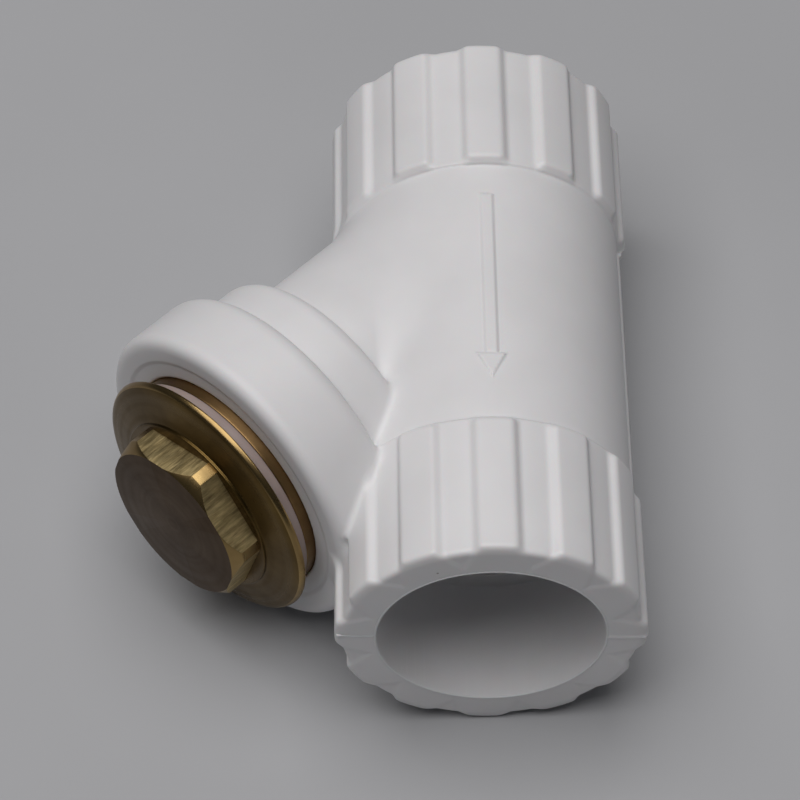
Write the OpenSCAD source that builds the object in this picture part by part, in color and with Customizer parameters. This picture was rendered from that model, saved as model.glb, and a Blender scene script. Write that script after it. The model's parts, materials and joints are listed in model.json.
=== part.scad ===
// Y strainer for a 32 mm hot-fused plastic pipe.
// The run lies along Y and water flows towards -Y. The branch leaves the run towards -X and -Y,
// in the horizontal plane. The origin is on the run axis, in the plane of the inlet mouth.

/* [Run] */
// Distance from the inlet mouth to the outlet mouth
run_length = 88; // [86:0.5:92]
// Outside diameter of the plain barrel
barrel_d = 40; // [39:0.1:40.2]
// Bore of each fusion socket
socket_d = 31; // [30.4:0.1:31.3]
// Depth of each fusion socket
socket_depth = 18.1; // [16:0.1:18.1]
// Bore of the run between the sockets
run_bore_d = 25; // [22:0.5:25]

/* [Collars] */
// Length of each ribbed collar
collar_length = 21.75; // [20:0.25:23]
// Outside diameter over the ribs
rib_d = 42.4; // [42:0.1:43]
// Number of ribs round each collar
rib_count = 12; // [10:1:14]
// Angle that each rib covers
rib_angle = 15.6; // [10:0.2:18]

/* [Branch] */
// Distance along the run from the inlet mouth to the branch axis
branch_station = 26.6; // [26.4:0.1:27.5]
// Angle between the branch and the run
branch_angle = 45; // [44:0.5:46]
// Outside diameter of the screen chamber
chamber_d = 34.4; // [34:0.1:36]
// Outside diameter of the neck ring
neck_d = 41; // [40:0.5:43]
// Outside diameter of the branch collar
branch_collar_d = 47; // [46:0.5:48]
// Bore of the screen chamber
chamber_bore_d = 26; // [25:0.1:26]

/* [Plug] */
// Across flats of the hexagon
hex_af = 23; // [20:1:24]
// Height of the hexagon
hex_height = 4.4; // [4:0.1:6]
// Diameter of the flange
flange_d = 38; // [36:0.1:39]
// Turns of thread in engagement
thread_turns = 5.5; // [4.5:0.5:5.5]

/* [Gasket] */
// Outside diameter of the gasket
gasket_d = 34.6; // [34:0.1:36]
// Thickness of the gasket
gasket_height = 2.2; // [2:0.1:2.4]

/* [Screen] */
// Outside diameter of the screen's end rings
ring_d = 20.4; // [19.6:0.1:20.4]
// Diameter of the holes in the support tube
screen_hole_d = 3; // [2:0.5:3]
// Rows of holes along the support tube
screen_rows = 9; // [6:1:9]
// Holes in each row round the support tube, an even number
screen_columns = 12; // [8:2:12]

/* [Hidden] */
$fn = 96;

// Every piece of the branch is set out by its distance from the crossing of the two axes.
neck_start = 31.3;
branch_collar_start = 39.3;
branch_face = 50.9;
insert_bottom = 39.5;
insert_stand = 1.3;
insert_rim = branch_face + insert_stand;
flange_back = insert_rim + gasket_height;

// Gap left where a piece that moves rests on one that doesn't
contact_gap = 0.02;

// Sloping partition that holds the screen's seat
partition_near = 3;
partition_far = 6;
seat_depth = 1.5;
seat_floor = partition_far - seat_depth;
seat_clearance = 0.2;
ring_lip = 1.4;
seat_hole_r = ring_d / 2 - ring_lip;

// Edge rounds and steps of the moulding
collar_step = 0.3;
collar_base_r = barrel_d / 2 + collar_step;
collar_round = 1;
collar_slope = 0.6;
collar_sink = 0.2;
rib_setback = 0.35;
rib_round = 0.8;
rib_root = 1.2;
mouth_lead = 0.3;
neck_round = 1.8;
branch_round = 2;
branch_face_round = 1.5;
face_recess_r = 19.6;
face_recess_depth = 0.15;

// Flow arrow on top of the barrel
arrow_tail = 27.3;
arrow_neck = 55.2;
arrow_tip = 59.2;
arrow_shaft_w = 1.8;
arrow_head_w = 4;
arrow_height = 0.35;

// Parallel pipe thread, G 3/4
pitch = 25.4 / 14;
thread_major_r = 13.22;
thread_depth = 1.16;
thread_clearance = 0.08;
thread_slope = tan(27.5);
thread_width = pitch / 2 - 0.127;
thread_embed = 0.15;
thread_segments = 36;
ridge_least = 0.05;
thread_start = 41.9;
insert_thread_turns = thread_turns - 0.9;
plug_thread_turns = thread_turns - 0.1;
core_r = thread_major_r - thread_depth - thread_clearance;
insert_bore_r = thread_major_r + thread_clearance;
thread_mean_r = (core_r + insert_bore_r) / 2;

// Brass insert, with an angular collar that keeps it from turning
insert_r = 17;
insert_groove_r = 16.2;
insert_collar_r = 19.5;
insert_collar_sides = 12;
insert_collar_start = 42.5;
insert_collar_end = 45.5;
insert_groove_w = 1;
insert_groove_slope = 0.5;
insert_lead = 0.5;

// Plug
plug_end = 41;
plug_chamfer = 0.6;
plug_wall = 1.75;
recess_r = core_r - plug_wall;
recess_floor = 50;
drill_r = 8;
drill_floor = 54.5;
flange_rim = 0.5;
flange_rim_round = 0.2;
flange_cone_r = 13.9;
flange_cone_height = 1.5;
boss_r = 13.5;
boss_height = 0.5;
hex_base = flange_back + flange_rim + flange_cone_height + boss_height;
hex_top = hex_base + hex_height;
hex_turn = 14.4;
hex_weld = 0.5;
hex_face_r = hex_af / 2 + 0.1;
hex_land_r = hex_face_r + 1.2;
hex_chamfer_slope = 1.2;
hex_chamfer = hex_chamfer_slope * (hex_land_r - hex_face_r);

// Screen
screen_bottom = seat_floor + contact_gap;
screen_play = 0.1;
screen_top = recess_floor - screen_play;
ring_band = 0.25;
ring_length = 3.5;
ring_cap = 0.4;
tube_r = ring_d / 2 - ring_band;
tube_wall = 0.5;
mesh_wall = 0.3;
mesh_r = tube_r - tube_wall;
plug_overlap = 10.5;

far = 200;

// Points of an arc round [x, y] from one angle to another
function arc(x, y, r, from, to, steps = 4) =
    [for (i = [0:steps]) let (a = from + (to - from) * i / steps) [x + r * cos(a), y + r * sin(a)]];

// Places children along the run: z counts from the inlet mouth towards the outlet
module on_run() {
    rotate([90, 0, 0]) children();
}

// Places children along the branch: z counts from the crossing towards the plug
module on_branch() {
    translate([0, -branch_station, 0]) rotate([90, 0, -branch_angle]) children();
}

// Draws children at the inlet end and, mirrored, at the outlet end
module both_ends() {
    children();
    translate([0, 0, run_length]) mirror([0, 0, 1]) children();
}

module tube(outer_r, inner_r, from, to) {
    translate([0, 0, from]) difference() {
        cylinder(r = outer_r, h = to - from);
        translate([0, 0, -1]) cylinder(r = inner_r, h = to - from + 2);
    }
}

// ---- body ----

module collar_ring() {
    rotate_extrude() polygon(concat(
        [[0, 0]],
        arc(collar_base_r - collar_round, collar_round, collar_round, -90, 0),
        [[collar_base_r, collar_length - collar_slope],
         [barrel_d / 2 - collar_sink, collar_length + collar_sink / 2],
         [0, collar_length + collar_sink / 2]]
    ));
}

module rib() {
    rib_r = rib_d / 2;
    rib_end = collar_length - rib_setback;
    rotate([0, 0, -rib_angle / 2]) rotate_extrude(angle = rib_angle) polygon(concat(
        [[collar_base_r - rib_root, rib_setback]],
        arc(rib_r - rib_round, rib_setback + rib_round, rib_round, -90, 0, 3),
        arc(rib_r - rib_round, rib_end - rib_round, rib_round, 0, 90, 3),
        [[collar_base_r - rib_root, rib_end]]
    ));
}

module ribbed_collar() {
    collar_ring();
    for (i = [0:rib_count - 1]) rotate([0, 0, 90 + i * 360 / rib_count]) rib();
}

module branch_outside() {
    neck_r = neck_d / 2;
    branch_r = branch_collar_d / 2;
    rotate_extrude() polygon(concat(
        [[0, 0], [chamber_d / 2, 0], [chamber_d / 2, neck_start]],
        arc(neck_r - neck_round, neck_start + neck_round, neck_round, -90, 0),
        [[neck_r, branch_collar_start]],
        arc(branch_r - branch_round, branch_collar_start + branch_round, branch_round, -90, 0),
        arc(branch_r - branch_face_round, branch_face - branch_face_round, branch_face_round, 0, 90),
        [[0, branch_face]]
    ));
}

module flow_arrow() {
    intersection() {
        on_run() cylinder(r = barrel_d / 2 + arrow_height, h = run_length);
        linear_extrude(height = barrel_d) polygon([
            [-arrow_shaft_w / 2, -arrow_tail],
            [-arrow_shaft_w / 2, -arrow_neck],
            [-arrow_head_w / 2, -arrow_neck],
            [0, -arrow_tip],
            [arrow_head_w / 2, -arrow_neck],
            [arrow_shaft_w / 2, -arrow_neck],
            [arrow_shaft_w / 2, -arrow_tail]
        ]);
    }
}

module socket() {
    translate([0, 0, -1]) cylinder(r = socket_d / 2, h = socket_depth + 1);
    translate([0, 0, -mouth_lead])
        cylinder(r1 = socket_d / 2 + 2 * mouth_lead, r2 = socket_d / 2, h = 2 * mouth_lead);
}

// Space on the inlet side of the sloping partition
module inlet_passage() {
    intersection() {
        on_run() translate([0, 0, socket_depth - 1]) cylinder(r = run_bore_d / 2, h = run_length / 2);
        on_branch() translate([-far / 2, -far / 2, partition_near - far]) cube(far);
    }
}

// Space on the outlet side of the sloping partition
module outlet_passage() {
    intersection() {
        on_run() translate([0, 0, socket_depth])
            cylinder(r = run_bore_d / 2, h = run_length - 2 * socket_depth + 1);
        on_branch() translate([-far / 2, -far / 2, partition_far]) cube(far);
    }
}

module screen_space() {
    translate([0, 0, partition_near - 1]) cylinder(r = seat_hole_r, h = partition_far - partition_near + 2);
    translate([0, 0, seat_floor]) cylinder(r = ring_d / 2 + seat_clearance, h = seat_depth + 1);
    translate([0, 0, partition_far]) cylinder(r = chamber_bore_d / 2, h = insert_bottom - partition_far + 1);
    translate([0, 0, branch_face - face_recess_depth]) cylinder(r = face_recess_r, h = far);
}

module body() {
    color("whitesmoke") difference() {
        union() {
            on_run() translate([0, 0, collar_round])
                cylinder(r = barrel_d / 2, h = run_length - 2 * collar_round);
            on_run() both_ends() ribbed_collar();
            on_branch() branch_outside();
            flow_arrow();
        }
        on_run() both_ends() socket();
        inlet_passage();
        outlet_passage();
        on_branch() screen_space();
        on_branch() insert_envelope();
    }
}

// ---- thread ----

// Cross-section of the thread's ridge at one angle: height is 0 at a run-out and 1 in full thread
function ridge_section(root_r, crest_r, root_w, crest_w, height, angle, z) =
    let (r = root_r + (crest_r - root_r) * max(height, ridge_least))
    let (w = root_w + (crest_w - root_w) * height)
    [for (p = [[root_r, -root_w / 2], [r, -w / 2], [r, w / 2], [root_r, root_w / 2]])
        [p[0] * cos(angle), p[0] * sin(angle), z + p[1]]];

// Right-handed helical ridge that starts at z and fades out over its first and last half turn
module helical_ridge(root_r, crest_r, z, turns) {
    steps = round(turns * thread_segments);
    fade = thread_segments / 2;
    root_w = thread_width + 2 * abs(root_r - thread_mean_r) * thread_slope;
    crest_w = thread_width - 2 * abs(crest_r - thread_mean_r) * thread_slope;
    points = [for (i = [0:steps]) each ridge_section(root_r, crest_r, root_w, crest_w,
        min(1, i / fade, (steps - i) / fade), i * 360 / thread_segments, z + i * pitch / thread_segments)];
    sides = [for (i = [0:steps - 1]) for (k = [0:3])
        let (a = 4 * i + k, b = 4 * i + (k + 1) % 4) each [[a, b, b + 4], [a, b + 4, a + 4]]];
    ends = [[3, 2, 1, 0], [4 * steps, 4 * steps + 1, 4 * steps + 2, 4 * steps + 3]];
    outward = concat(sides, ends);
    faces = crest_r > root_r ? outward : [for (f = outward) [for (k = [len(f) - 1:-1:0]) f[k]]];
    polyhedron(points = points, faces = faces);
}

// ---- threaded insert ----

module insert_envelope() {
    rotate_extrude() polygon([
        [0, insert_bottom],
        [insert_r, insert_bottom],
        [insert_r, insert_collar_start - insert_groove_w - insert_groove_slope],
        [insert_groove_r, insert_collar_start - insert_groove_w],
        [insert_groove_r, insert_collar_end + insert_groove_w],
        [insert_r, insert_collar_end + insert_groove_w + insert_groove_slope],
        [insert_r, insert_rim],
        [0, insert_rim]
    ]);
    translate([0, 0, insert_collar_start])
        cylinder(r = insert_collar_r, h = insert_collar_end - insert_collar_start, $fn = insert_collar_sides);
}

module threaded_insert() {
    color([0.48, 0.35, 0.15]) on_branch() {
        difference() {
            insert_envelope();
            translate([0, 0, insert_bottom - 1]) cylinder(r = insert_bore_r, h = far);
            translate([0, 0, insert_rim - insert_lead])
                cylinder(r1 = insert_bore_r, r2 = insert_bore_r + 2 * insert_lead, h = 2 * insert_lead);
        }
        helical_ridge(insert_bore_r + thread_embed, thread_major_r - thread_depth + thread_clearance,
            thread_start + pitch / 2, insert_thread_turns);
    }
}

// ---- plug ----

module plug_turned() {
    rim_r = flange_d / 2;
    rotate_extrude() polygon([
        [recess_r, plug_end],
        [core_r - plug_chamfer, plug_end],
        [core_r, plug_end + plug_chamfer],
        [core_r, flange_back],
        [rim_r - flange_rim_round, flange_back],
        [rim_r, flange_back + flange_rim_round],
        [rim_r, flange_back + flange_rim - flange_rim_round],
        [rim_r - flange_rim_round, flange_back + flange_rim],
        [flange_cone_r, flange_back + flange_rim + flange_cone_height],
        [boss_r, hex_base],
        [0, hex_base],
        [0, drill_floor],
        [drill_r, drill_floor],
        [drill_r, recess_floor],
        [recess_r, recess_floor]
    ]);
}

// Hexagon with round lands on its corners and a steep chamfer round its face
module plug_hexagon() {
    intersection() {
        translate([0, 0, hex_base - hex_weld]) rotate([0, 0, hex_turn])
            cylinder(d = hex_af / cos(30), h = hex_height + hex_weld, $fn = 6);
        rotate_extrude() polygon([
            [0, hex_base - 2 * hex_weld],
            [hex_land_r, hex_base - 2 * hex_weld],
            [hex_land_r, hex_top - hex_chamfer],
            [hex_face_r, hex_top],
            [0, hex_top]
        ]);
    }
}

module plug() {
    color([0.72, 0.55, 0.26]) on_branch() {
        plug_turned();
        plug_hexagon();
        helical_ridge(core_r - thread_embed, thread_major_r - thread_clearance,
            thread_start, plug_thread_turns);
    }
}

// ---- gasket ----

module gasket() {
    color([0.93, 0.9, 0.87]) on_branch()
        tube(gasket_d / 2, insert_bore_r, insert_rim + contact_gap, flange_back - contact_gap);
}

// ---- screen ----

module screen_tube() {
    first = screen_bottom + ring_length + screen_hole_d;
    last = screen_top - plug_overlap - screen_hole_d;
    color("silver") on_branch() difference() {
        tube(tube_r, tube_r - tube_wall, screen_bottom + ring_cap, screen_top - ring_cap);
        for (row = [0:screen_rows - 1]) for (column = [0:screen_columns - 1])
            translate([0, 0, first + (last - first) * row / (screen_rows - 1)])
                rotate([0, 90, (column + row % 2 / 2) * 360 / screen_columns])
                    translate([0, 0, tube_r - 2 * tube_wall])
                        cylinder(d = screen_hole_d, h = 3 * tube_wall, $fn = 24);
    }
}

module screen_mesh() {
    color("lightgray") on_branch()
        tube(mesh_r, mesh_r - mesh_wall, screen_bottom + ring_cap, screen_top - ring_cap);
}

// Pressed ring: a band round the tube and a cap over its end
module end_ring(cap_from, band_from) {
    tube(ring_d / 2, tube_r, band_from, band_from + ring_length);
    tube(ring_d / 2, seat_hole_r, cap_from, cap_from + ring_cap);
}

module seat_ring() {
    color("gainsboro") on_branch() end_ring(screen_bottom, screen_bottom);
}

module plug_ring() {
    color("gainsboro") on_branch() end_ring(screen_top - ring_cap, screen_top - ring_length);
}

body();
threaded_insert();
plug();
gasket();
screen_tube();
screen_mesh();
seat_ring();
plug_ring();
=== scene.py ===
import json
import math

import bmesh
import bpy
import numpy as np
from mathutils import Matrix, Vector


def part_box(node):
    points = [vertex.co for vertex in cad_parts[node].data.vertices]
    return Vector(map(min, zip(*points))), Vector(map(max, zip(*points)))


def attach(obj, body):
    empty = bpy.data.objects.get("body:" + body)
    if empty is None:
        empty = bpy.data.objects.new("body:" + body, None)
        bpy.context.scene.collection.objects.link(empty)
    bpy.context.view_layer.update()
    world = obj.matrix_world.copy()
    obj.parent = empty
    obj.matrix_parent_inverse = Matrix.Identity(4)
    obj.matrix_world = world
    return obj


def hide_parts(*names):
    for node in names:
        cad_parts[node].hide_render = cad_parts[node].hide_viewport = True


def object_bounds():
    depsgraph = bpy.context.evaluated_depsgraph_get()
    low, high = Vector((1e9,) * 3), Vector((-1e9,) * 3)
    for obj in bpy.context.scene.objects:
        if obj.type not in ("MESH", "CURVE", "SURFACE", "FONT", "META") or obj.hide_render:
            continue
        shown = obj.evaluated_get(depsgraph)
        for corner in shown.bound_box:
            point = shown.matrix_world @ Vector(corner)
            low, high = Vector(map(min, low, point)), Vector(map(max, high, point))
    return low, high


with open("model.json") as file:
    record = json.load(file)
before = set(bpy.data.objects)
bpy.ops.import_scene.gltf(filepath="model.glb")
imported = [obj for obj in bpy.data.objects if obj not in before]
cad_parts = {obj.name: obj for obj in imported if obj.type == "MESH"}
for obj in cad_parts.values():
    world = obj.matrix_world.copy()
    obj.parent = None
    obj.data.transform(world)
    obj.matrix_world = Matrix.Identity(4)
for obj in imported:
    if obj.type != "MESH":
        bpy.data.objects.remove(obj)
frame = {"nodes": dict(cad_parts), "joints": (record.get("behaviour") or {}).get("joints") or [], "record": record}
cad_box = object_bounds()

# Every size of the object is in millimetres, in the frame of the CAD model: the run lies along Y
# with the inlet's mouth at y = 0, water flows towards -Y, and the branch leaves the run at a slant.
# In the distance fields, r is the distance from the run's axis, rho from the branch's axis, and
# s the station along the branch, from the crossing of the two axes.
# The floor, the light and the camera's distance are in metres.
MM = 0.001

joints = {joint["name"]: joint for joint in frame["joints"]}
CROSSING = Vector(joints["plug_turn"]["pos_m"]) / MM
BRANCH = Vector(joints["plug_turn"]["axis"]).normalized()
UP = Vector((0, 0, 1))
ACROSS = UP.cross(BRANCH)
PITCH = 2 * math.pi * frame["record"]["behaviour"]["couplings"][0]["ratio"] / MM
# Both frames have z along the pipe: away from the crossing, and away from the inlet's mouth.
BRANCH_FRAME = Matrix.Translation(CROSSING * MM) @ Matrix((ACROSS, UP, BRANCH)).transposed().to_4x4()
RUN_FRAME = Matrix(((1, 0, 0), (0, 0, 1), (0, -1, 0))).transposed().to_4x4()

body_low, body_high = (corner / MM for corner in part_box("body"))
RUN_LENGTH = body_high.y - body_low.y
RIB_R = body_high.x

# ---- sizes of the moulding ----
BARREL_R = 20.0
COLLAR_R = 20.3
COLLAR_LENGTH = 21.75
RIB_COUNT = 12
RIB_HALF_ANGLE = math.radians(7.8)
RIB_DRAFT = 0.4
RIB_SETBACK = 0.15
SOCKET_R = 15.5
SOCKET_DEPTH = 18.1
BORE_R = 12.5
CHAMBER_R = 17.2
NECK_R = 20.5
NECK_START = 31.3
BRANCH_COLLAR_R = 23.5
BRANCH_COLLAR_START = 39.3
BRANCH_FACE = 50.9
FACE_RECESS_R = 19.6
FACE_RECESS_DEPTH = 0.15
CHAMBER_BORE_R = 13.0
PARTITION_FRONT = 3.0
PARTITION_BACK = 6.0
SEAT_HOLE_R = 8.8
SEAT_R = 10.4
SEAT_FLOOR = 4.5
SEAT_DEPTH = 3.0
ARROW_TAIL = 27.3
ARROW_NECK = 55.2
ARROW_TIP = 59.2
ARROW_SHAFT = 0.9
ARROW_HEAD = 2.0
ARROW_HEIGHT = 0.24
PARTING_HEIGHT = 0.12
PARTING_STEP = 0.4
PARTING_WIDTH = 0.55
FLASH_R = 0.22
FLASH_HEIGHT = 0.2
MOST_TRIANGLES = 190000

# ---- sizes of the brass and of the gasket ----
INSERT_R = 17.0
INSERT_BOTTOM = 39.5
INSERT_RIM = BRANCH_FACE + 1.3
THREAD_R = 13.22
THREAD_DEPTH = 1.16
THREAD_CLEARANCE = 0.08
THREAD_START = 41.9
THREAD_END = 51.4
CORE_R = THREAD_R - THREAD_DEPTH - THREAD_CLEARANCE
INSERT_BORE_R = THREAD_R + THREAD_CLEARANCE
GASKET_R = 17.3
FLANGE_BACK = INSERT_RIM + 2.2
FLANGE_R = 19.0
PLUG_END = 41.0
RECESS_R = CORE_R - 1.75
RECESS_FLOOR = 50.0
DRILL_R = 8.0
DRILL_FLOOR = 54.5
BOSS_R = 13.5
HEX_BASE = FLANGE_BACK + 2.5
HEX_TOP = HEX_BASE + 4.4
HEX_FLATS = 23.0
HEX_FACE_R = 11.6
HEX_LAND_R = 12.8
HEX_CHAMFER = 1.2 * (HEX_LAND_R - HEX_FACE_R)
HEX_TURN = math.radians(14.4)

# ---- sizes of the screen ----
MESH_R = 9.3
MESH_START = 4.9
MESH_END = 49.5
STRAIGHT_WIRES = 54
HOOPS = 40
WEAVE_HEIGHT = 0.14
WIRE_R = WEAVE_HEIGHT * 0.9


def smooth_min(a, b, k):
    """The smaller of two distances, with a fillet of about k where they meet."""
    h = np.clip(0.5 + 0.5 * (b - a) / k, 0, 1)
    return b + (a - b) * h - k * h * (1 - h)


def smooth_max(a, b, k):
    """The larger of two distances, with a round of about k where they meet."""
    return -smooth_min(-a, -b, k)


def smooth_step(x, low, high):
    """Rises from 0 at low to 1 at high, level at both ends."""
    t = np.clip((x - low) / (high - low), 0, 1)
    return t * t * (3 - 2 * t)


# ---- the moulded body, as a distance field ----

def run_outside(x, y, z, r, end):
    """Barrel, ribbed collars and arrow. end is the distance in from the nearer mouth."""
    barrel = np.maximum(r - BARREL_R, 1.0 - end)
    collar = smooth_max(smooth_max(r - COLLAR_R, end - COLLAR_LENGTH, 0.3), -end, 0.9)
    step = 2 * math.pi / RIB_COUNT
    angle = np.arctan2(x, z)
    angle -= step * np.round(angle / step)
    side = np.abs(r * np.sin(angle)) - RIB_R * math.sin(RIB_HALF_ANGLE)
    side -= RIB_DRAFT * (RIB_R - 0.4 - r)
    rib = smooth_max(r - RIB_R, side / math.hypot(1, RIB_DRAFT), 0.7)
    rib = smooth_max(rib, end - COLLAR_LENGTH + RIB_SETBACK, 1.1)
    rib = smooth_max(rib, 0.05 - end, 0.9)
    outside = smooth_min(smooth_min(barrel, collar, 0.4), rib, 0.65)
    along = -y
    shaft_middle, shaft_half = (ARROW_TAIL + ARROW_NECK) / 2, (ARROW_NECK - ARROW_TAIL) / 2
    shaft = np.maximum(np.abs(x) - ARROW_SHAFT, np.abs(along - shaft_middle) - shaft_half)
    slope = ARROW_HEAD / (ARROW_TIP - ARROW_NECK)
    flank = (np.abs(x) - slope * (ARROW_TIP - along)) / math.hypot(1, slope)
    head = np.maximum(ARROW_NECK - along, flank)
    arrow = smooth_max(np.minimum(shaft, head), r - BARREL_R - ARROW_HEIGHT, 0.3)
    top_side = 15 - z
    return smooth_min(outside, np.maximum(arrow, top_side), 0.25)


def branch_outside(s, rho):
    """Screen chamber, neck ring, and the collar with the shallow recess in its face."""
    chamber = smooth_max(rho - CHAMBER_R, -s, 6.0)
    neck = smooth_max(smooth_max(rho - NECK_R, NECK_START - s, 2.3), s - BRANCH_FACE + 3, 0.5)
    recess = FACE_RECESS_DEPTH * (1 - smooth_step(rho, FACE_RECESS_R - 0.3, FACE_RECESS_R + 0.5))
    collar = smooth_max(rho - BRANCH_COLLAR_R, BRANCH_COLLAR_START - s, 2.6)
    collar = smooth_max(collar, s - BRANCH_FACE + recess, 2.0)
    chamber = np.maximum(chamber, s - BRANCH_FACE + 3)
    return smooth_min(smooth_min(chamber, neck, 0.6), collar, 0.6)


def body_inside(r, end, s, rho):
    """Sockets, bore, seat, screen chamber and the pocket of the insert, as one void."""
    socket = smooth_max(r - SOCKET_R, end - SOCKET_DEPTH, 0.3)
    bore = np.maximum(r - BORE_R, SOCKET_DEPTH - 1 - end)
    inlet = smooth_max(bore, s - PARTITION_FRONT, 0.6)
    outlet = smooth_max(bore, PARTITION_BACK - s, 0.6)
    hole = np.maximum(rho - SEAT_HOLE_R, np.abs(s - SEAT_FLOOR) - 2.5)
    seat_half = SEAT_DEPTH / 2
    seat = np.maximum(rho - SEAT_R, np.abs(s - SEAT_FLOOR - seat_half) - seat_half)
    chamber = np.maximum(rho - CHAMBER_BORE_R, np.maximum(PARTITION_BACK - s, s - INSERT_BOTTOM - 1))
    pocket = np.maximum(rho - INSERT_R, INSERT_BOTTOM - s)
    void = smooth_min(socket, inlet, 0.3)
    void = smooth_min(void, outlet, 0.3)
    void = smooth_min(void, smooth_min(hole, seat, 0.2), 0.4)
    void = smooth_min(void, chamber, 0.8)
    return np.minimum(void, pocket)


def body_distance(points):
    """Signed distance, about, from points in an array of shape (..., 3) to the skin of the moulding."""
    x, y, z = points[..., 0], points[..., 1], points[..., 2]
    r = np.hypot(x, z)
    end = np.minimum(-y, y + RUN_LENGTH)
    s = (x - CROSSING.x) * BRANCH.x + (y - CROSSING.y) * BRANCH.y
    across = (x - CROSSING.x) * ACROSS.x + (y - CROSSING.y) * ACROSS.y
    rho = np.hypot(across, z)
    blend = 3.6 - 2.4 * smooth_step(s, 24, 34)
    outside = smooth_min(run_outside(x, y, z, r, end), branch_outside(s, rho), blend)
    ridge = (1 - smooth_step(np.abs(z), 0, PARTING_WIDTH)) * (1 - smooth_step(s, 48.5, 50.2))
    plain = smooth_step(x, 15, 19) * smooth_step(end, COLLAR_LENGTH - 0.3, COLLAR_LENGTH + 0.7)
    outside -= (PARTING_HEIGHT + PARTING_STEP * plain) * ridge
    return smooth_max(outside, -body_inside(r, end, s, rho), 0.5)


def surface_net(field, low, cell):
    """Vertices and quads of the zero surface of a sampled field, one vertex in each cell it crosses."""
    inside = field < 0
    counts = np.array(field.shape) - 1
    corners = [(i, j, k) for i in (0, 1) for j in (0, 1) for k in (0, 1)]

    def part(values, corner):
        return values[tuple(slice(c, c + n) for c, n in zip(corner, counts))]

    filled = sum(part(inside, corner).astype(np.int8) for corner in corners)
    cells = np.argwhere((filled > 0) & (filled < 8))
    numbers = np.full(counts, -1, np.int64)
    numbers[tuple(cells.T)] = np.arange(len(cells))
    total, crossings = np.zeros((len(cells), 3)), np.zeros(len(cells))
    for a in corners:
        for axis in range(3):
            if a[axis]:
                continue
            b = tuple(1 if i == axis else c for i, c in enumerate(a))
            va = field[tuple((cells + a).T)]
            vb = field[tuple((cells + b).T)]
            cut = (va < 0) != (vb < 0)
            share = np.where(cut, va / np.where(cut, va - vb, 1), 0)
            point = np.tile(np.array(a, float), (len(cells), 1))
            point[:, axis] = share
            total += point * cut[:, None]
            crossings += cut
    vertices = low + (cells + total / crossings[:, None]) * cell
    quads = []
    for axis in range(3):
        one, two = (axis + 1) % 3, (axis + 2) % 3
        step = np.eye(3, dtype=int)
        before = inside[tuple(slice(0, -1) if i == axis else slice(1, -1) for i in range(3))]
        after = inside[tuple(slice(1, None) if i == axis else slice(1, -1) for i in range(3))]
        at = np.argwhere(before != after)
        out = before[tuple(at.T)]
        at = at + step[one] + step[two]
        ring = [at, at - step[one], at - step[one] - step[two], at - step[two]]
        quad = np.stack([numbers[tuple(c.T)] for c in ring], 1)
        quads.append(np.where(out[:, None], quad, quad[:, ::-1]))
    return vertices, np.concatenate(quads)


def slope_of(points):
    """Gradient of the body's distance field."""
    step = 0.02
    sides = []
    for axis in np.eye(3):
        rise = body_distance(points + step * axis) - body_distance(points - step * axis)
        sides.append(rise / (2 * step))
    return np.stack(sides, -1)


def settle(points, rounds):
    """Moves points onto the skin of the moulding."""
    for _ in range(rounds):
        gradient = slope_of(points)
        size = np.maximum((gradient ** 2).sum(1), 0.25)
        points = points - gradient * (body_distance(points) / size)[:, None]
    return points


def mesh_object(name, vertices, faces, smooth=True):
    """A new object from vertices in millimetres."""
    mesh = bpy.data.meshes.new(name)
    mesh.from_pydata((np.asarray(vertices, float) * MM).tolist(), [], [tuple(f) for f in faces])
    mesh.validate()
    if smooth:
        mesh.shade_smooth()
    thing = bpy.data.objects.new(name, mesh)
    bpy.context.scene.collection.objects.link(thing)
    return thing


def apply_modifiers(thing):
    with bpy.context.temp_override(object=thing, active_object=thing, selected_objects=[thing]):
        for modifier in list(thing.modifiers):
            bpy.ops.object.modifier_apply(modifier=modifier.name)


def vertices_of(thing):
    points = np.zeros(len(thing.data.vertices) * 3)
    thing.data.vertices.foreach_get("co", points)
    return points.reshape(-1, 3) / MM


def moulded_body():
    """Skin of the moulding: a net over a grid of cells, moved onto the distance field."""
    cell = 0.32
    margin = 2.5 * cell
    low = np.array(body_low) - margin
    counts = np.ceil((np.array(body_high) - np.array(body_low) + 2 * margin) / cell).astype(int)
    low[2] = -cell * (counts[2] // 2 + 0.5)
    counts[2] = 2 * (counts[2] // 2) + 2
    axes = [low[i] + cell * np.arange(counts[i]) for i in range(3)]
    field = np.empty(tuple(counts), np.float32)
    for i, x in enumerate(axes[0]):
        layer = np.stack(np.meshgrid([x], axes[1], axes[2], indexing="ij"), -1)
        field[i] = body_distance(layer)[0]
    vertices, quads = surface_net(field, low, cell)
    thing = mesh_object("moulded_body", settle(vertices, 4), quads)
    triangles = 2 * len(quads)
    if triangles > MOST_TRIANGLES:
        thin = thing.modifiers.new("thin", "DECIMATE")
        thin.ratio = MOST_TRIANGLES / triangles
        apply_modifiers(thing)
        points = settle(vertices_of(thing), 3)
        thing.data.vertices.foreach_set("co", (points * MM).ravel())
        thing.data.update()
    normals = slope_of(vertices_of(thing))
    normals /= np.linalg.norm(normals, axis=1)[:, None]
    thing.data.shade_smooth()
    thing.data.normals_split_custom_set_from_vertices(normals.tolist())
    return thing


# ---- turned pieces, drawn in the branch's own frame: z counts from the crossing towards the plug ----

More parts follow.
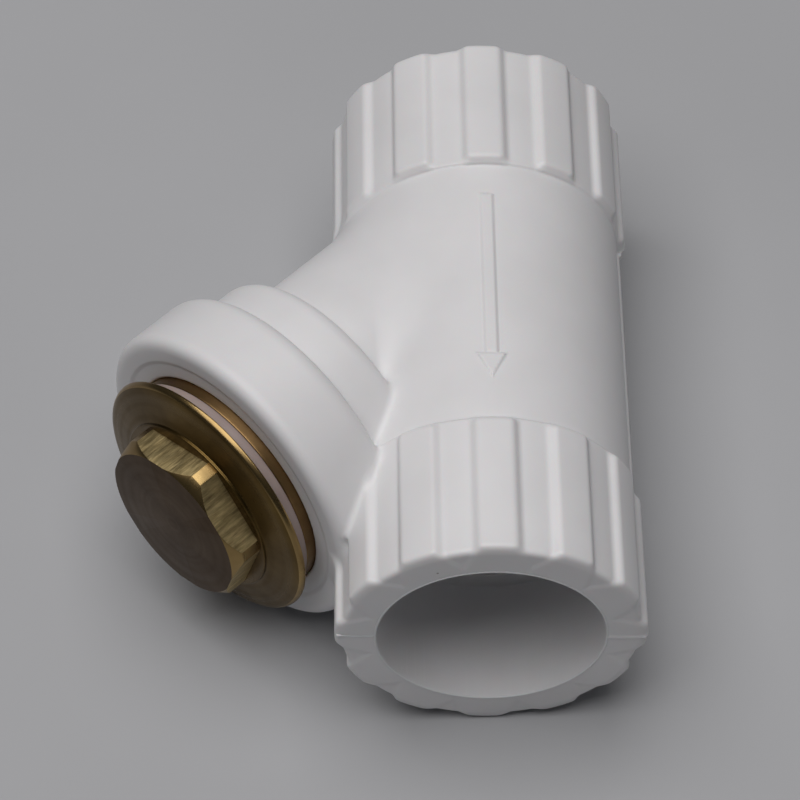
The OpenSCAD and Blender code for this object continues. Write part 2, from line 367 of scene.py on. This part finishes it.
def soften(corners, closed=False, steps=5):
    """Profile of (radius, station) points from corners of (radius, station, size of the round).

    Each round is a quadratic curve. The ends of an open profile stay sharp."""
    points, count = [], len(corners)
    for i, (r, s, size) in enumerate(corners):
        here = np.array((r, s))
        if size == 0 or (not closed and i in (0, count - 1)):
            points.append(tuple(here))
            continue
        ends = []
        for other in (corners[i - 1], corners[(i + 1) % count]):
            way = np.array(other[:2]) - here
            ends.append(here + way * min(0.45, size / np.linalg.norm(way)))
        for k in range(steps + 1):
            t = k / steps
            points.append(tuple((1 - t) ** 2 * ends[0] + 2 * t * (1 - t) * here + t ** 2 * ends[1]))
    return points


def revolve(name, profile, segments=192, closed=False, radius=None):
    """A turned mesh from a profile. radius(r, s, angles) may vary a ring's radius with the angle."""
    angles = 2 * math.pi * np.arange(segments) / segments
    vertices, rings = [], []
    for r, s in profile:
        first = sum(len(ring) for ring in vertices)
        if r < 1e-6:
            vertices.append(np.array([[0, 0, s]]))
            rings.append([first] * segments)
            continue
        radii = np.full(segments, r) if radius is None else radius(r, s, angles)
        ring = [radii * np.cos(angles), radii * np.sin(angles), np.full(segments, s)]
        vertices.append(np.stack(ring, 1))
        rings.append(list(range(first, first + segments)))
    faces = []
    for a, b in zip(rings, rings[1:] + (rings[:1] if closed else [])):
        for i in range(segments):
            j = (i + 1) % segments
            corners = dict.fromkeys((a[i], a[j], b[j], b[i]))
            if len(corners) > 2:
                faces.append(tuple(corners))
    thing = mesh_object(name, np.concatenate(vertices), faces)
    thing.matrix_world = BRANCH_FRAME
    outward(thing)
    return thing


def outward(thing):
    """Turns all faces of a closed mesh to the outside."""
    shape = bmesh.new()
    shape.from_mesh(thing.data)
    bmesh.ops.recalc_face_normals(shape, faces=shape.faces)
    if shape.calc_volume(signed=True) < 0:
        bmesh.ops.reverse_faces(shape, faces=shape.faces)
    shape.to_mesh(thing.data)
    shape.free()


def combine(thing, other, operation):
    """Boolean of two meshes. The other one is used up."""
    step = thing.modifiers.new("cut", "BOOLEAN")
    step.operation = operation
    step.solver = "EXACT"
    step.object = other
    apply_modifiers(thing)
    bpy.data.objects.remove(other)


def round_edges(thing, width, limit_degrees, segments):
    """Bevels the edges that are sharper than the limit."""
    bevel = thing.modifiers.new("edges", "BEVEL")
    bevel.width = width * MM
    bevel.segments = segments
    bevel.limit_method = "ANGLE"
    bevel.angle_limit = math.radians(limit_degrees)
    bevel.harden_normals = False
    apply_modifiers(thing)


def smooth_by_angle(thing, degrees):
    """Shades a mesh smooth, apart from edges sharper than the angle."""
    thing.data.shade_smooth()
    thing.data.set_sharp_from_angle(angle=math.radians(degrees))


def thread_ridge(s, angles, start, end):
    """Height of the thread's ridge, from 0 to 1, at a station. It fades over a half turn at each end."""
    phase = (s - start - PITCH * angles / (2 * math.pi)) / PITCH
    away = np.abs(phase - np.round(phase)) * 2
    ridge = 1 - smooth_step(away, 0.16, 0.84)
    half_turn = PITCH / 2
    return ridge * np.clip(min((s - start + half_turn) / half_turn, (end - s) / half_turn), 0, 1)


def stations(start, end, step):
    """Evenly spaced stations, about a step apart, with both ends."""
    count = max(2, round((end - start) / step) + 1)
    return np.linspace(start, end, count)


def plug_piece():
    """Turned plug with its thread, recess and flange, and the hexagon on top."""
    thread = [(CORE_R, s) for s in stations(PLUG_END + 0.7, FLANGE_BACK - 0.4, PITCH / 12)]
    cone_r = BOSS_R + 0.5
    head = soften([
        (CORE_R, FLANGE_BACK - 0.4, 0), (CORE_R, FLANGE_BACK, 0.25), (FLANGE_R, FLANGE_BACK, 0.12),
        (FLANGE_R, FLANGE_BACK + 0.25, 0.15), (FLANGE_R - 0.25, FLANGE_BACK + 0.8, 0.35),
        (FLANGE_R - 1, FLANGE_BACK + 1.15, 0.5), (cone_r + 1.6, FLANGE_BACK + 1.55, 0.8),
        (cone_r, FLANGE_BACK + 1.9, 0.15), (BOSS_R, FLANGE_BACK + 2.05, 0.1),
        (BOSS_R, HEX_BASE, 0.25), (BOSS_R - 1.5, HEX_BASE, 0), (0, HEX_BASE, 0)])
    inside = soften([
        (0, DRILL_FLOOR, 0), (DRILL_R, DRILL_FLOOR, 0.5), (DRILL_R, RECESS_FLOOR, 0.2),
        (RECESS_R, RECESS_FLOOR, 0.2), (RECESS_R, PLUG_END, 0.3), (CORE_R - 0.6, PLUG_END, 0.2),
        (CORE_R, PLUG_END + 0.7, 0)])[:-1]

    def radius(r, s, angles):
        if abs(r - CORE_R) > 1e-6:
            return np.full(len(angles), r)
        height = THREAD_R - THREAD_CLEARANCE - CORE_R
        return CORE_R + height * thread_ridge(s, angles, THREAD_START, THREAD_END)

    plug = revolve("brass_plug", inside + thread + head[1:], radius=radius)
    corner_r = HEX_FLATS / 2 / math.cos(math.pi / 6)
    low, top = HEX_BASE - 0.6, HEX_TOP
    turns = [HEX_TURN + k * math.pi / 3 for k in range(6)]
    corners = [(corner_r * math.cos(turn), corner_r * math.sin(turn)) for turn in turns]
    faces = [tuple(range(5, -1, -1)), tuple(range(6, 12))]
    faces += [(k, (k + 1) % 6, 6 + (k + 1) % 6, 6 + k) for k in range(6)]
    points = [(*corner, s) for s in (low, top) for corner in corners]
    hexagon = mesh_object("hexagon", points, faces, smooth=False)
    hexagon.matrix_world = BRANCH_FRAME
    cone = revolve("cone", [(0, low - 1), (HEX_LAND_R, low - 1), (HEX_LAND_R, top - HEX_CHAMFER),
                            (HEX_FACE_R, top), (0, top)])
    combine(hexagon, cone, "INTERSECT")
    round_edges(hexagon, 0.07, 20, 2)
    combine(plug, hexagon, "UNION")
    smooth_by_angle(plug, 32)
    return plug


def insert_piece():
    """Brass insert of the branch, threaded inside. Only its rim stands out of the moulding."""
    outside = soften([
        (INSERT_BORE_R, INSERT_BOTTOM, 0), (INSERT_R - 0.02, INSERT_BOTTOM, 0.3),
        (INSERT_R - 0.02, INSERT_RIM, 0.22), (INSERT_BORE_R + 0.5, INSERT_RIM, 0.1),
        (INSERT_BORE_R, INSERT_RIM - 0.5, 0)])
    levels = stations(INSERT_BOTTOM, INSERT_RIM - 0.5, PITCH / 12)[1:-1]
    bore = [(INSERT_BORE_R, s) for s in levels[::-1]]

    def radius(r, s, angles):
        if abs(r - INSERT_BORE_R) > 1e-6:
            return np.full(len(angles), r)
        height = INSERT_BORE_R - (THREAD_R - THREAD_DEPTH + THREAD_CLEARANCE)
        start, end = THREAD_START + PITCH / 2, THREAD_END + 0.2
        return r - height * thread_ridge(s, angles, start, end)

    insert = revolve("brass_insert", outside + bore, closed=True, radius=radius)
    smooth_by_angle(insert, 40)
    return insert


def gasket_piece():
    """Flat ring, squeezed a little round at its edges."""
    inner, outer = INSERT_BORE_R + 0.1, GASKET_R
    middle = (INSERT_RIM + FLANGE_BACK) / 2
    profile = soften([
        (inner, INSERT_RIM, 0.3), (outer - 0.1, INSERT_RIM, 0.45), (outer, middle, 0.5),
        (outer - 0.1, FLANGE_BACK, 0.45), (inner, FLANGE_BACK, 0.3)], closed=True)
    return revolve("flat_gasket", profile, closed=True)


def tube_along(path, radius, sides, loop, out=None):
    """Vertices and faces of a wire along a path of points. out is a direction across the path."""
    path = np.asarray(path, float)
    ahead = np.roll(path, -1, 0) - np.roll(path, 1, 0)
    if not loop:
        ahead[0], ahead[-1] = path[1] - path[0], path[-1] - path[-2]
    ahead /= np.linalg.norm(ahead, axis=1)[:, None]
    out = path * (1, 1, 0) if out is None else np.tile(np.array(out, float), (len(path), 1))
    out /= np.linalg.norm(out, axis=1)[:, None]
    side = np.cross(ahead, out)
    side /= np.linalg.norm(side, axis=1)[:, None]
    out = np.cross(side, ahead)
    vertices = []
    for k in range(sides):
        a = 2 * math.pi * k / sides
        vertices.append(path + radius * (math.cos(a) * out + math.sin(a) * side))
    vertices = np.stack(vertices, 1).reshape(-1, 3)
    faces, count = [], len(path)
    for i in range(count if loop else count - 1):
        j = (i + 1) % count
        for k in range(sides):
            m = (k + 1) % sides
            faces.append((i * sides + k, i * sides + m, j * sides + m, j * sides + k))
    if not loop:
        faces.append(tuple(range(sides))[::-1])
        faces.append(tuple((count - 1) * sides + k for k in range(sides)))
    return vertices, faces


def join(name, parts):
    """One object from parts of (vertices, faces)."""
    vertices, faces, count = [], [], 0
    for points, corners in parts:
        vertices.append(points)
        faces.extend(tuple(i + count for i in face) for face in corners)
        count += len(points)
    return mesh_object(name, np.concatenate(vertices), faces)


def woven_screen():
    """Plain weave of round wire, rolled into a tube: hoops that pass over and under straight wires."""
    parts = []
    heights = stations(MESH_START, MESH_END, (MESH_END - MESH_START) / (2 * (HOOPS + 1) + 1))
    for i in range(STRAIGHT_WIRES):
        a = 2 * math.pi * i / STRAIGHT_WIRES
        wave = WEAVE_HEIGHT * np.cos(math.pi * (np.arange(len(heights)) / 2 + i))
        r = MESH_R + wave
        path = np.stack([r * math.cos(a), r * math.sin(a), heights], 1)
        parts.append(tube_along(path, WIRE_R, 5, False))
    for j in range(HOOPS):
        s = heights[2 * (j + 1)]
        steps = np.arange(2 * STRAIGHT_WIRES)
        a = math.pi * steps / STRAIGHT_WIRES
        r = MESH_R - WEAVE_HEIGHT * np.cos(math.pi * (steps / 2 + j + 1))
        path = np.stack([r * np.cos(a), r * np.sin(a), np.full(len(a), s)], 1)
        parts.append(tube_along(path, WIRE_R, 5, True))
    screen = join("woven_screen", parts)
    screen.matrix_world = BRANCH_FRAME
    return screen


def mould_flash():
    """The moulding's thin flash: a bead round each mouth, and the parting line across both end faces."""
    turn = np.linspace(0, 2 * math.pi, 192, endpoint=False)
    bead_r = SOCKET_R + FLASH_R
    parts = []
    for station, out in ((0, -1), (RUN_LENGTH, 1)):
        height = station + out * (FLASH_HEIGHT - FLASH_R)
        bead = [bead_r * np.cos(turn), bead_r * np.sin(turn), np.full(len(turn), height)]
        parts.append(tube_along(np.stack(bead, 1), FLASH_R, 10, True))
        for side in (-1, 1):
            line = [(side * x, 0, height) for x in np.linspace(bead_r, RIB_R - 0.3, 8)]
            parts.append(tube_along(line, FLASH_R, 10, False, out=(0, 1, 0)))
    flash = join("mould_flash", parts)
    flash.matrix_world = RUN_FRAME
    outward(flash)
    return flash


# ---- materials ----

def new_material(name, **values):
    """A node material whose plain values are set on the shader itself."""
    material = bpy.data.materials.new(name)
    material.use_nodes = True
    shader = material.node_tree.nodes["Principled BSDF"]
    for key, value in values.items():
        shader.inputs[key.replace("_", " ")].default_value = value
    return material, material.node_tree, shader


def feed(tree, socket, value):
    """Links a socket to another socket, or sets it to a plain value."""
    if isinstance(value, bpy.types.NodeSocket):
        tree.links.new(value, socket)
    else:
        socket.default_value = value


def add_node(tree, kind, settings=None, **inputs):
    """A node with settings and inputs. An input is named, or numbered as i0, i1 and so on."""
    node = tree.nodes.new(kind)
    for key, value in (settings or {}).items():
        setattr(node, key, value)
    for key, value in inputs.items():
        numbered = key[0] == "i" and key[1:].isdigit()
        feed(tree, node.inputs[int(key[1:]) if numbered else key.replace("_", " ")], value)
    return node


def place(tree, scale=(1, 1, 1)):
    """The piece's own coordinates in metres, stretched."""
    spot = add_node(tree, "ShaderNodeTexCoord").outputs["Object"]
    return add_node(tree, "ShaderNodeMapping", Vector=spot, Scale=scale).outputs["Vector"]


def noise(tree, vector, scale, detail, roughness=0.5):
    """Noise in space. scale counts its waves in a metre."""
    node = add_node(tree, "ShaderNodeTexNoise", Vector=vector, Scale=scale, Detail=detail,
                    Roughness=roughness)
    return node.outputs["Fac"]


def line_noise(tree, value, scale, detail):
    """Noise along one value, the same everywhere that the value is the same."""
    node = add_node(tree, "ShaderNodeTexNoise", {"noise_dimensions": "1D"}, W=value, Scale=scale,
                    Detail=detail)
    return node.outputs["Fac"]


def ramp(tree, value, low, high, out_low=0.0, out_high=1.0):
    """Maps low..high to out_low..out_high, and stays level outside."""
    node = add_node(tree, "ShaderNodeMapRange", Value=value, From_Min=low, From_Max=high,
                    To_Min=out_low, To_Max=out_high)
    return node.outputs["Result"]


def mix(tree, amount, a, b):
    """Blends from colour a to colour b. Each is a socket or three numbers."""
    node = add_node(tree, "ShaderNodeMix", {"data_type": "RGBA"}, i0=amount)
    for socket, value in ((node.inputs[6], a), (node.inputs[7], b)):
        feed(tree, socket, value if isinstance(value, bpy.types.NodeSocket) else (*value, 1))
    return node.outputs[2]


def maths(tree, operation, a, b):
    return add_node(tree, "ShaderNodeMath", {"operation": operation}, i0=a, i1=b).outputs[0]


def bump(tree, shader, height, strength, distance, below=None):
    """Bump of a depth in millimetres, on top of the bump below it."""
    inputs = {"Height": height, "Strength": strength, "Distance": distance * MM}
    if below is not None:
        inputs["Normal"] = below
    node = add_node(tree, "ShaderNodeBump", **inputs)
    tree.links.new(node.outputs["Normal"], shader.inputs["Normal"])
    return node.outputs["Normal"]


def plastic_material():
    """White pipe plastic: a little cloudy, a few dark specks, and slow waves under a fine grain."""
    material, tree, shader = new_material("white_pipe_plastic", IOR=1.49, Subsurface_Weight=0.08,
                                          Subsurface_Scale=0.002)
    spot = place(tree)
    cloud = noise(tree, spot, 45, 4, 0.55)
    tone = mix(tree, ramp(tree, cloud, 0.3, 0.7), (0.76, 0.753, 0.755), (0.82, 0.813, 0.818))
    cells = add_node(tree, "ShaderNodeTexVoronoi", Vector=spot, Scale=260)
    near = maths(tree, "LESS_THAN", cells.outputs["Distance"], 0.045)
    chance = add_node(tree, "ShaderNodeSeparateColor", Color=cells.outputs["Color"]).outputs[0]
    rare = maths(tree, "GREATER_THAN", chance, 0.955)
    tone = mix(tree, maths(tree, "MULTIPLY", near, rare), tone, (0.33, 0.31, 0.29))
    tree.links.new(tone, shader.inputs["Base Color"])
    gloss = noise(tree, spot, 90, 5, 0.6)
    tree.links.new(ramp(tree, gloss, 0.25, 0.75, 0.36, 0.5), shader.inputs["Roughness"])
    flow = bump(tree, shader, noise(tree, spot, 140, 2), 0.25, 0.12)
    bump(tree, shader, noise(tree, spot, 2600, 3, 0.6), 0.3, 0.02, flow)
    return material


def turned_brass(name, bright, dark, smoothest, roughest, ring_depth=0.35):
    """Brass with the fine rings of a lathe tool, slightly tarnished."""
    material, tree, shader = new_material(name, Metallic=1.0)
    spot = place(tree)
    cloud = noise(tree, spot, 130, 5, 0.6)
    tree.links.new(mix(tree, ramp(tree, cloud, 0.32, 0.72), dark, bright), shader.inputs["Base Color"])
    parts = add_node(tree, "ShaderNodeSeparateXYZ", Vector=spot)
    squares = [maths(tree, "POWER", parts.outputs[i], 2.0) for i in (0, 1)]
    radius = maths(tree, "POWER", maths(tree, "ADD", *squares), 0.5)
    reach = maths(tree, "ADD", radius, maths(tree, "MULTIPLY", parts.outputs[2], 0.8))
    rings = line_noise(tree, reach, 5200.0, 2.0)
    bands = line_noise(tree, reach, 900.0, 3.0)
    scratch = noise(tree, place(tree, (1, 1, 5)), 1500, 2)
    spread = 0.8 * ring_depth
    rough = maths(tree, "MULTIPLY", ramp(tree, bands, 0.25, 0.75, 1 - spread, 1 + spread),
                  ramp(tree, cloud, 0.3, 0.7, roughest, smoothest))
    tree.links.new(rough, shader.inputs["Roughness"])
    below = bump(tree, shader, rings, ring_depth, 0.01)
    bump(tree, shader, scratch, 0.12, 0.01, below)
    return material


def milled_brass():
    """Brass of the hexagon's flats, torn by the cutter in strokes along the axis."""
    material, tree, shader = new_material("milled_brass_flats", Metallic=1.0)
    strokes = noise(tree, place(tree, (1, 1, 0.12)), 2300, 4, 0.65)
    patches = noise(tree, place(tree, (1, 1, 0.5)), 420, 3, 0.6)
    tone = mix(tree, ramp(tree, strokes, 0.3, 0.7), (0.30, 0.22, 0.095), (0.78, 0.62, 0.31))
    tree.links.new(tone, shader.inputs["Base Color"])
    tree.links.new(ramp(tree, patches, 0.3, 0.7, 0.34, 0.55), shader.inputs["Roughness"])
    below = bump(tree, shader, strokes, 0.7, 0.05)
    bump(tree, shader, patches, 0.5, 0.08, below)
    return material


def gasket_material():
    """Rubber, matt and slightly mottled, with a warm tint that is partly its own. Its colour is kept far darker
    than the pale rubber really is: painted shade from the groove under the flange, and painted reflection of the
    brass.
    """
    material, tree, shader = new_material("gasket_rubber", Subsurface_Weight=0.1, Subsurface_Scale=0.001)
    spot = place(tree)
    cloud = ramp(tree, noise(tree, spot, 160, 4), 0.3, 0.7)
    # These dark warm tones are painted shade and painted brass reflection on a pale rubber.
    tone = mix(tree, cloud, (0.29, 0.225, 0.205), (0.36, 0.285, 0.26))
    tree.links.new(tone, shader.inputs["Base Color"])
    tree.links.new(ramp(tree, noise(tree, spot, 500, 3), 0.3, 0.7, 0.5, 0.68), shader.inputs["Roughness"])
    bump(tree, shader, noise(tree, spot, 1400, 3), 0.3, 0.04)
    return material


def steel_material(name, stretch, bright, dark):
    """Stainless steel, its grain drawn out along the axes where stretch is below 1."""
    material, tree, shader = new_material(name, Metallic=1.0)
    grain = noise(tree, place(tree, stretch), 1600, 3, 0.6)
    tree.links.new(mix(tree, ramp(tree, grain, 0.3, 0.7), dark, bright), shader.inputs["Base Color"])
    tree.links.new(ramp(tree, grain, 0.25, 0.75, 0.24, 0.42), shader.inputs["Roughness"])
    bump(tree, shader, grain, 0.3, 0.02)
    return material


def floor_material():
    """Plain pale grey, hardly mottled."""
    material, tree, shader = new_material("pale_floor", Roughness=0.85)
    cloud = ramp(tree, noise(tree, place(tree), 9, 4), 0.3, 0.7)
    tone = mix(tree, cloud, (0.445, 0.45, 0.46), (0.475, 0.48, 0.49))
    tree.links.new(tone, shader.inputs["Base Color"])
    return material


def dress(thing, material, body=None, stands_for=()):
    """Gives a piece its material, the body it moves with and the CAD nodes it stands for."""
    if not thing.data.materials:
        thing.data.materials.append(material)
    else:
        for i in range(len(thing.data.materials)):
            thing.data.materials[i] = material
    if body:
        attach(thing, body)
    if stands_for:
        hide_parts(*stands_for)


# ---- the object ----

housing_skin = moulded_body()
plastic = plastic_material()
dress(housing_skin, plastic, "housing", ["body"])
dress(mould_flash(), plastic, "housing")

plug = plug_piece()
# The plug's brass colours are far darker than brass's own: a painted dark reflection, as of dim surroundings. Its
# highlights come from the lamp.
dress(plug, turned_brass("turned_brass", (0.155, 0.1, 0.032), (0.1, 0.063, 0.021), 0.28, 0.4),
      "plug", ["plug"])
# The first material covers the plug. The others follow it in this order.
FLATS, FACE, EDGES = 1, 2, 3
plug.data.materials.append(milled_brass())
# The hexagon's top face: rougher, and darker still in colour, as a painted dark reflection.
plug.data.materials.append(
    turned_brass("rough_brass_face_painted_dark", (0.1, 0.064, 0.034), (0.07, 0.044, 0.024), 0.42, 0.5, 0.1))
# A brighter copy of the brass for rims, chamfers and the flange's edge: a painted highlight.
plug.data.materials.append(
    turned_brass("brass_edges_painted_highlight", (0.38, 0.265, 0.11), (0.27, 0.18, 0.075), 0.24, 0.34))
# Slots by face: the hexagon's flats get the milled brass, its top face the painted dark reflection, and its corner
# rounds, chamfers and the flange's rim the painted highlight.
for polygon in plug.data.polygons:
    middle, normal = polygon.center / MM, polygon.normal
    if middle.z < FLANGE_BACK:
        continue
    from_axis = middle.x * normal.x + middle.y * normal.y
    if middle.z > HEX_BASE and abs(normal.z) < 0.2:
        polygon.material_index = FLATS if abs(from_axis - HEX_FLATS / 2) < 0.2 else EDGES
    elif middle.z > HEX_BASE + 0.5:
        polygon.material_index = FACE if normal.z > 0.95 else EDGES
    elif math.hypot(middle.x, middle.y) > FLANGE_R - 0.5:
        polygon.material_index = EDGES

insert = insert_piece()
dress(insert, turned_brass("dull_brass", (0.30, 0.19, 0.08), (0.17, 0.10, 0.045), 0.34, 0.5),
      "housing", ["threaded_insert"])

gasket = gasket_piece()
dress(gasket, gasket_material(), "screen_and_gasket", ["gasket"])

screen = woven_screen()
dress(screen, steel_material("steel_wire", (1, 1, 1), (0.66, 0.66, 0.65), (0.5, 0.5, 0.49)),
      "screen_and_gasket", ["screen_mesh"])
sheet_steel = steel_material("rolled_steel_sheet", (1, 1, 0.1), (0.68, 0.68, 0.67), (0.52, 0.52, 0.51))
pressed_steel = steel_material("pressed_steel_ring", (0.3, 0.3, 1), (0.72, 0.72, 0.71),
                               (0.56, 0.56, 0.55))
dress(frame["nodes"]["screen_tube"], sheet_steel)
dress(frame["nodes"]["seat_ring"], pressed_steel)
dress(frame["nodes"]["plug_ring"], pressed_steel)

# ---- floor, light and camera ----

# The object lies on its ribs and on the larger branch collar, so its middle plane is tilted.
FLOOR_HALF = 3.0
collar_reach = -BRANCH.x * (BRANCH_FACE - 1.5)
tilt = math.asin((BRANCH_COLLAR_R - RIB_R) / collar_reach)
floor_up = Vector((-math.sin(tilt), 0, math.cos(tilt)))
floor_mesh = bpy.data.meshes.new("floor")
floor_corners = [(x * FLOOR_HALF, y * FLOOR_HALF, 0) for x, y in ((-1, -1), (1, -1), (1, 1), (-1, 1))]
floor_mesh.from_pydata(floor_corners, [], [(0, 1, 2, 3)])
floor = bpy.data.objects.new("floor", floor_mesh)
bpy.context.scene.collection.objects.link(floor)
floor.matrix_world = Matrix.Translation(-floor_up * (RIB_R + 0.05) * MM) @ Matrix.Rotation(-tilt, 4, "Y")
floor_mesh.materials.append(floor_material())


def area_light(name, place_at, look_at, size, power, colour):
    """A rectangular lamp. Its place and its size are in metres, its power in watts."""
    data = bpy.data.lights.new(name, "AREA")
    data.shape = "RECTANGLE"
    data.size, data.size_y = size
    data.energy = power
    data.color = colour
    lamp = bpy.data.objects.new(name, data)
    bpy.context.scene.collection.objects.link(lamp)
    lamp.location = place_at
    lamp.rotation_euler = (Vector(look_at) - Vector(place_at)).to_track_quat("-Z", "Y").to_euler()


middle = (Vector(cad_box[0]) + Vector(cad_box[1])) / 2
lamp_place = middle + Vector((-0.13, -0.02, 0.75))
area_light("overhead", lamp_place, middle, (0.75, 0.75), 5.3, (1.0, 0.985, 0.99))

world = bpy.data.worlds.new("studio")
world.use_nodes = True
world.node_tree.nodes["Background"].inputs["Color"].default_value = (0.90, 0.93, 1.0, 1)
world.node_tree.nodes["Background"].inputs["Strength"].default_value = 0.04
bpy.context.scene.world = world
bpy.context.scene.view_settings.view_transform = "Standard"

# The camera looks down at the outlet's end. Its aim is a point in the middle plane of the object.
AIM = Vector((-11.84, -48.56, 0)) * MM
DISTANCE = 0.5114
AZIMUTH, ELEVATION, ROLL = math.radians(2.88), math.radians(53.62), math.radians(2.70)
LENS, SENSOR = 162.9, 36
ahead = Vector((math.sin(AZIMUTH) * math.cos(ELEVATION),
                math.cos(AZIMUTH) * math.cos(ELEVATION),
                -math.sin(ELEVATION)))
level = Vector((math.cos(AZIMUTH), -math.sin(AZIMUTH), 0))
right = Matrix.Rotation(-ROLL, 3, ahead) @ level
camera_data = bpy.data.cameras.new("camera")
camera_data.lens = LENS
camera_data.sensor_width = SENSOR
camera_data.clip_start = 0.01
camera = bpy.data.objects.new("camera", camera_data)
bpy.context.scene.collection.objects.link(camera)
camera.matrix_world = (Matrix.Translation(AIM - ahead * DISTANCE)
                       @ Matrix((right, right.cross(ahead), -ahead)).transposed().to_4x4())
bpy.context.scene.camera = camera
